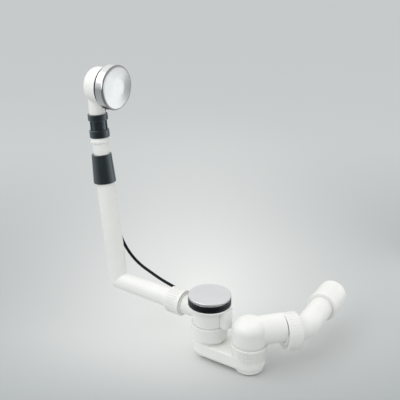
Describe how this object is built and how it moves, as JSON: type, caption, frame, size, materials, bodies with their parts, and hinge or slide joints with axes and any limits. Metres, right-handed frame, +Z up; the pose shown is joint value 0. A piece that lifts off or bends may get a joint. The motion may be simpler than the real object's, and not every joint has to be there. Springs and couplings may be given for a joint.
{
  "type": "bath waste and overflow",
  "caption": "Bath waste and overflow: a round knob turns, a cable pulls a lever, and the lever lifts the plug. White pipes, a flat trap and a bent outlet carry the water away.",
  "frame": {"origin": "middle of the bath outlet on the drain axis, at the face the bath's underside bears on", "axes": "+Z up along the drain axis, +X from the overflow riser across the drain to the trap riser, +Y towards the outlet end"},
  "size_m": [0.4002, 0.2494, 0.4704],
  "materials": {
    "white_plastic": "moulded white plastic, low gloss",
    "black_plastic": "black moulded plastic",
    "black_rubber": "black rubber",
    "chrome": "polished chrome plate",
    "steel": "stainless steel",
    "brass": "turned brass"
  },
  "bodies": {
    "housing": {"overflow_plate": "white_plastic", "plate_screws": "steel", "head_gasket": "black_rubber", "overflow_body": "white_plastic", "cable_stop_top": "brass", "upper_coupling": "black_plastic", "upper_tube": "white_plastic", "lower_boot": "black_rubber", "overflow_pipe": "white_plastic", "overflow_seal": "black_rubber", "overflow_nut": "white_plastic", "cable_sheath": "black_plastic", "cable_stop_low": "brass", "shaft_seal": "black_rubber", "drain_flange": "steel", "flange_screw": "brass", "flange_gasket": "black_rubber", "bath_gasket": "black_rubber", "drain_body": "white_plastic", "trap_body": "white_plastic", "socket_seal": "black_rubber", "trap_riser": "white_plastic", "riser_seal": "black_rubber", "outlet_nut": "white_plastic", "outlet_seal": "black_rubber", "outlet_bend": "white_plastic", "outlet_adapter": "white_plastic", "adapter_seal": "black_rubber"},
    "knob": {"overflow_knob": "chrome", "knob_screw": "steel", "knob_spindle": "brass", "spindle_clip": "steel"},
    "slider": {"wire_slider": "white_plastic", "wire_top": "steel"},
    "low_wire": {"wire_low": "steel"},
    "lever": {"lift_shaft": "brass", "lift_arm": "brass", "lift_screw": "steel"},
    "plug": {"plug_lid": "chrome", "lid_seal": "black_rubber", "plug_stem": "brass", "stem_nut": "brass"}
  },
  "joints": [
    {"name": "knob_turn", "type": "hinge", "parent": "housing", "child": "knob", "pos_m": [-0.19, 0, 0.3288], "axis": [1, 0, 0], "range_deg": [0, 90]},
    {"name": "slider_lift", "type": "slide", "parent": "housing", "child": "slider", "axis": [0, 0, 1], "range_m": [0, 0.00886]},
    {"name": "wire_pull", "type": "slide", "parent": "housing", "child": "low_wire", "axis": [-1, 0, 0], "range_m": [0, 0.00886]},
    {"name": "lever_swing", "type": "hinge", "parent": "housing", "child": "lever", "pos_m": [-0.017, 0, -0.0347], "axis": [0, -1, 0], "range_deg": [0, 41.41]},
    {"name": "plug_lift", "type": "slide", "parent": "housing", "child": "plug", "axis": [0, 0, 1], "range_m": [0, 0.01204]}
  ],
  "couplings": [
    {"joint": "slider_lift", "follows": "knob_turn", "m_per_rad": 0.005627},
    {"joint": "wire_pull", "follows": "knob_turn", "m_per_rad": 0.005627},
    {"joint": "lever_swing", "follows": "knob_turn", "ratio": 0.46},
    {"joint": "plug_lift", "follows": "knob_turn", "m_per_rad": 0.007651}
  ]
}
